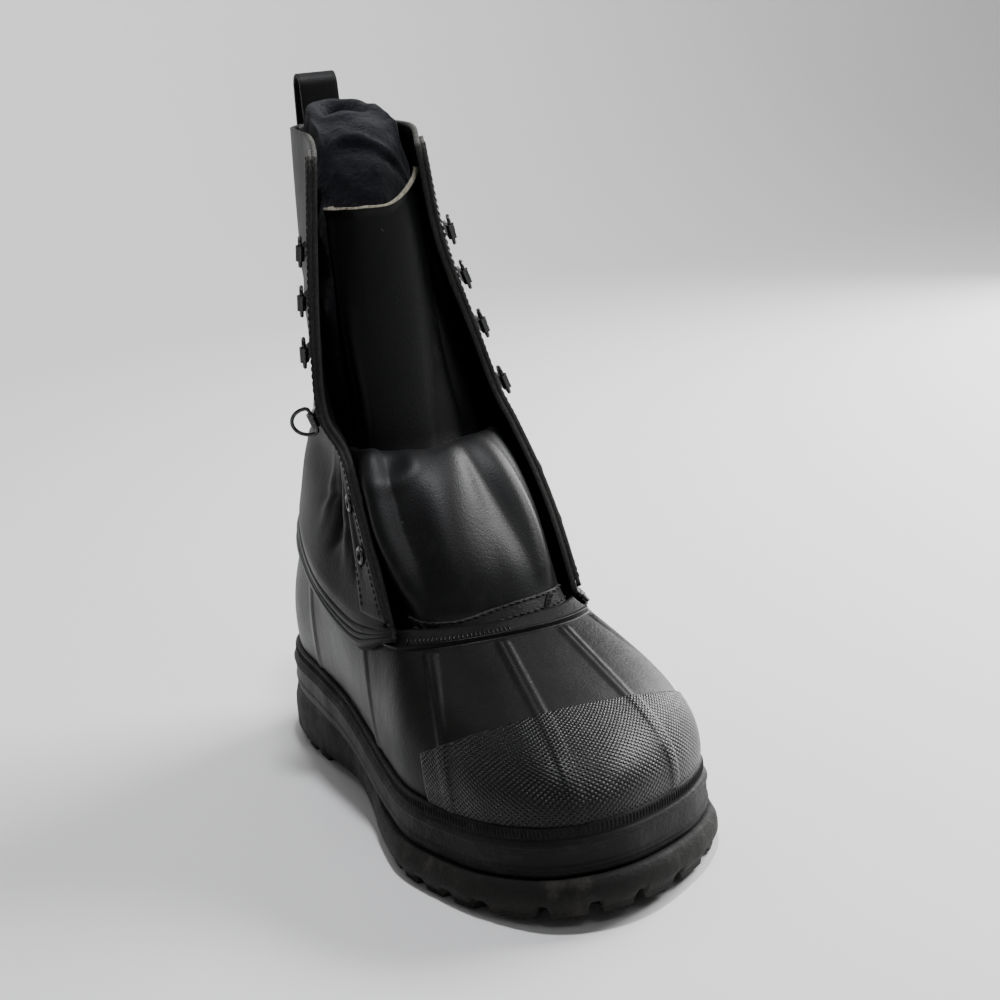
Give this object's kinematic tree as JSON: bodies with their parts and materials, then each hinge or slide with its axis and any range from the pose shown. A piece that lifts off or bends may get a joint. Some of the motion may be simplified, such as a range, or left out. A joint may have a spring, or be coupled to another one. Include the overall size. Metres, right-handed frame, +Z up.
{
  "type": "pac boot",
  "caption": "Tall winter pac boot for a left foot: lugged rubber sole and bottom with a textured toe cap, open leather shaft with lacing rings, folded tongue and a felt liner.",
  "frame": {"origin": "centre of the boot's outline on the floor it stands on", "axes": "+Z up, toe towards -Y, outer side of the left foot towards +X"},
  "size_m": [0.1346, 0.322, 0.324],
  "materials": {
    "sole_rubber": "moulded black sole rubber, matt and scuffed",
    "bottom_rubber": "black boot rubber, satin, with a diamond texture on the toe cap",
    "shaft_leather": "black waxed leather, smooth and creased at the ankle",
    "liner_felt": "dark navy pressed felt, fuzzy",
    "insole_felt": "grey pressed felt",
    "ring_enamel": "black enamelled steel, worn at the edges"
  },
  "bodies": {
    "boot": {"outsole": "sole_rubber", "foxing": "sole_rubber", "rubber_bottom": "bottom_rubber", "toe_cap": "bottom_rubber", "insole": "insole_felt", "shaft": "shaft_leather", "eyestay_inner": "shaft_leather", "eyestay_outer": "shaft_leather", "tongue": "shaft_leather", "liner": "liner_felt", "pull_loop": "shaft_leather", "eyelet_inner_1": "ring_enamel", "eyelet_inner_2": "ring_enamel", "eyelet_outer_1": "ring_enamel", "eyelet_outer_2": "ring_enamel", "clip_inner_1": "ring_enamel", "clip_inner_2": "ring_enamel", "clip_inner_3": "ring_enamel", "clip_inner_4": "ring_enamel", "clip_outer_1": "ring_enamel", "clip_outer_2": "ring_enamel", "clip_outer_3": "ring_enamel", "clip_outer_4": "ring_enamel"},
    "inner_ring_1": {"ring_inner_1": "ring_enamel"},
    "inner_ring_2": {"ring_inner_2": "ring_enamel"},
    "inner_ring_3": {"ring_inner_3": "ring_enamel"},
    "inner_ring_4": {"ring_inner_4": "ring_enamel"},
    "outer_ring_1": {"ring_outer_1": "ring_enamel"},
    "outer_ring_2": {"ring_outer_2": "ring_enamel"},
    "outer_ring_3": {"ring_outer_3": "ring_enamel"},
    "outer_ring_4": {"ring_outer_4": "ring_enamel"}
  },
  "joints": [
    {"name": "inner_ring_1_swing", "type": "hinge", "parent": "boot", "child": "inner_ring_1", "pos_m": [-0.05494, 0.03919, 0.17466], "axis": [-0.3295, -0.0251, 0.9438], "range_deg": [-70, 70]},
    {"name": "inner_ring_2_swing", "type": "hinge", "parent": "boot", "child": "inner_ring_2", "pos_m": [-0.05515, 0.04134, 0.20421], "axis": [0.003, -0.1389, 0.9903], "range_deg": [0, 140]},
    {"name": "inner_ring_3_swing", "type": "hinge", "parent": "boot", "child": "inner_ring_3", "pos_m": [-0.05371, 0.04128, 0.22733], "axis": [0.0386, -0.157, 0.9868], "range_deg": [0, 140]},
    {"name": "inner_ring_4_swing", "type": "hinge", "parent": "boot", "child": "inner_ring_4", "pos_m": [-0.05193, 0.04109, 0.24928], "axis": [0.0528, -0.1675, 0.9845], "range_deg": [0, 140]},
    {"name": "outer_ring_1_swing", "type": "hinge", "parent": "boot", "child": "outer_ring_1", "pos_m": [0.0365, 0.03561, 0.17951], "axis": [0.3257, 0.0708, -0.9428], "range_deg": [0, 140]},
    {"name": "outer_ring_2_swing", "type": "hinge", "parent": "boot", "child": "outer_ring_2", "pos_m": [0.03073, 0.04127, 0.20603], "axis": [0.289, 0.0852, -0.9535], "range_deg": [0, 140]},
    {"name": "outer_ring_3_swing", "type": "hinge", "parent": "boot", "child": "outer_ring_3", "pos_m": [0.02519, 0.0442, 0.22902], "axis": [0.312, 0.0767, -0.947], "range_deg": [0, 140]},
    {"name": "outer_ring_4_swing", "type": "hinge", "parent": "boot", "child": "outer_ring_4", "pos_m": [0.02093, 0.04636, 0.25001], "axis": [0.2118, 0.1103, -0.9711], "range_deg": [0, 140]}
  ]
}
